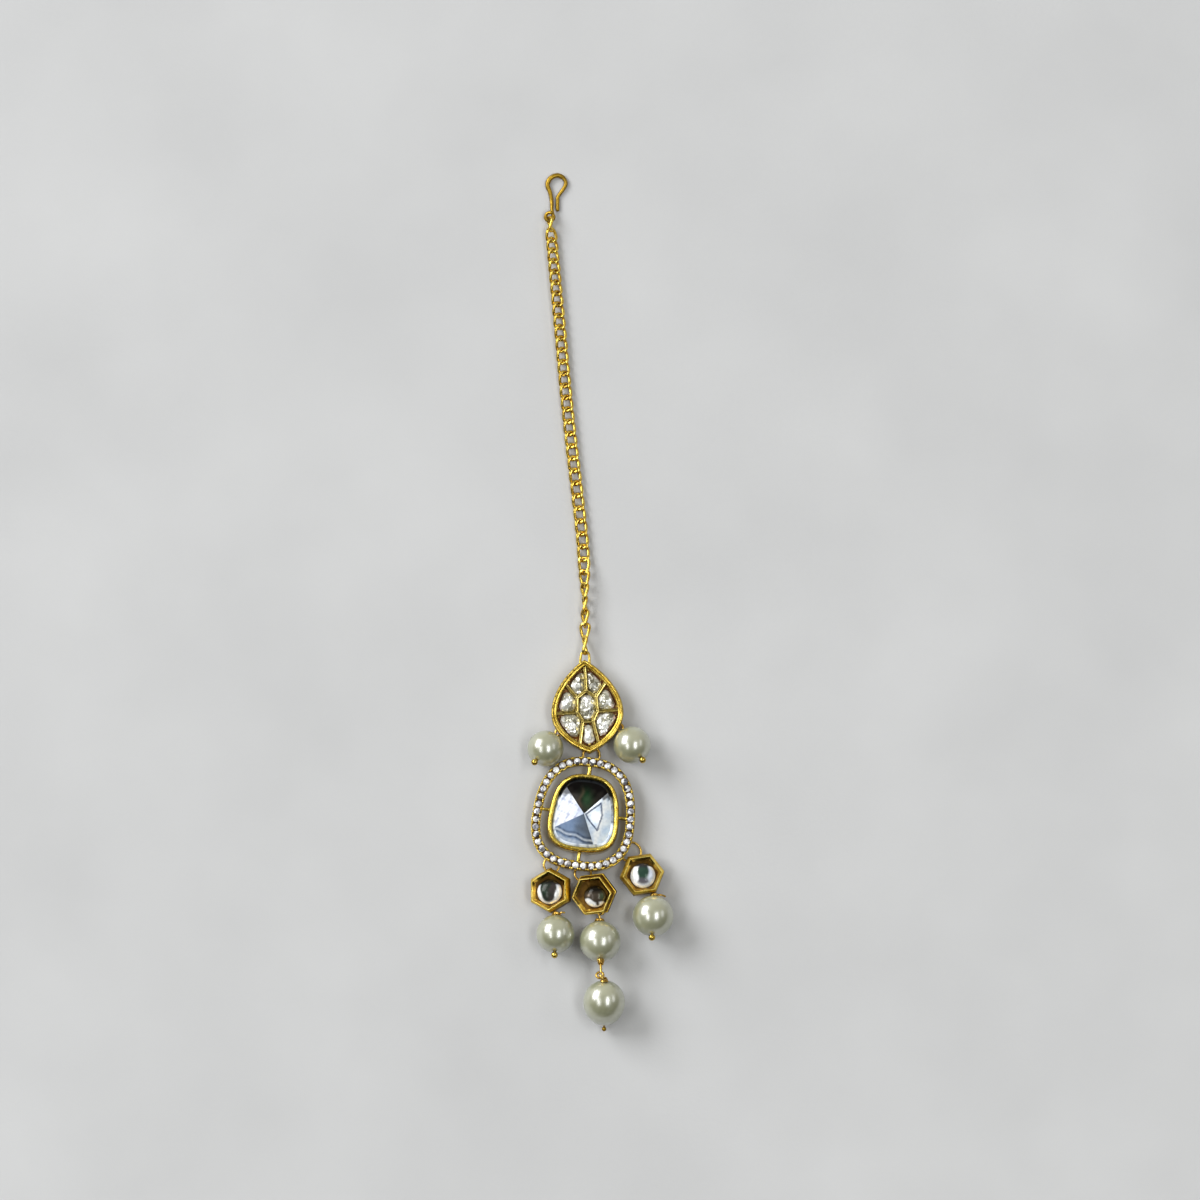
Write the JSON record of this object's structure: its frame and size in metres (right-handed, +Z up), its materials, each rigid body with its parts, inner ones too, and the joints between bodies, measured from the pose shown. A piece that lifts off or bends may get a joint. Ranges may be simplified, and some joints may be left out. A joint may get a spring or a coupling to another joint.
{
  "type": "maang tikka",
  "caption": "Gold hair jewel laid flat: a bent wire hook on a chain carries a stone-set leaf, a halo-framed cushion stone, hexagonal cups and pearl drops.",
  "frame": {"origin": "centre of the bounding box in plan, on the surface that the jewel lies on", "axes": "+X to the right of the laid jewel, +Y along it towards the hook, +Z up from the surface, out of its front"},
  "size_m": [0.0263, 0.156, 0.0078],
  "materials": {
    "gold": "gold-plated, polished with a slight hammered wave",
    "dull_gold": "gold-plated, worn and brownish",
    "clear_stone": "clear faceted crystal with a foil back",
    "foiled_stone": "faceted or domed crystal over a mirror foil",
    "pearl": "pearl lacquer, glossy"
  },
  "bodies": {
    "root": {"hair_hook": "dull_gold", "chain": "gold", "leaf_setting": "gold", "leaf_stone_1": "clear_stone", "leaf_stone_2": "clear_stone", "leaf_stone_3": "clear_stone", "leaf_stone_4": "clear_stone", "leaf_stone_5": "clear_stone", "leaf_stone_6": "clear_stone", "leaf_stone_7": "clear_stone", "leaf_stone_8": "clear_stone", "upper_pearl_left": "pearl", "upper_pearl_right": "pearl", "upper_pin_left": "gold", "upper_pin_right": "gold", "centre_link": "gold", "centre_frame": "gold", "centre_stone": "foiled_stone", "hex_ring_left": "gold", "hex_ring_middle": "gold", "hex_ring_right": "gold", "hex_setting_left": "gold", "hex_setting_middle": "gold", "hex_setting_right": "gold", "hex_stone_left": "foiled_stone", "hex_stone_middle": "foiled_stone", "hex_stone_right": "foiled_stone", "lower_pearl_left": "pearl", "lower_pearl_middle": "pearl", "lower_pearl_right": "pearl", "lower_pin_left": "gold", "lower_pin_middle": "gold", "lower_pin_right": "gold", "drop_pearl": "pearl", "drop_pin": "gold"}
  },
  "joints": []
}
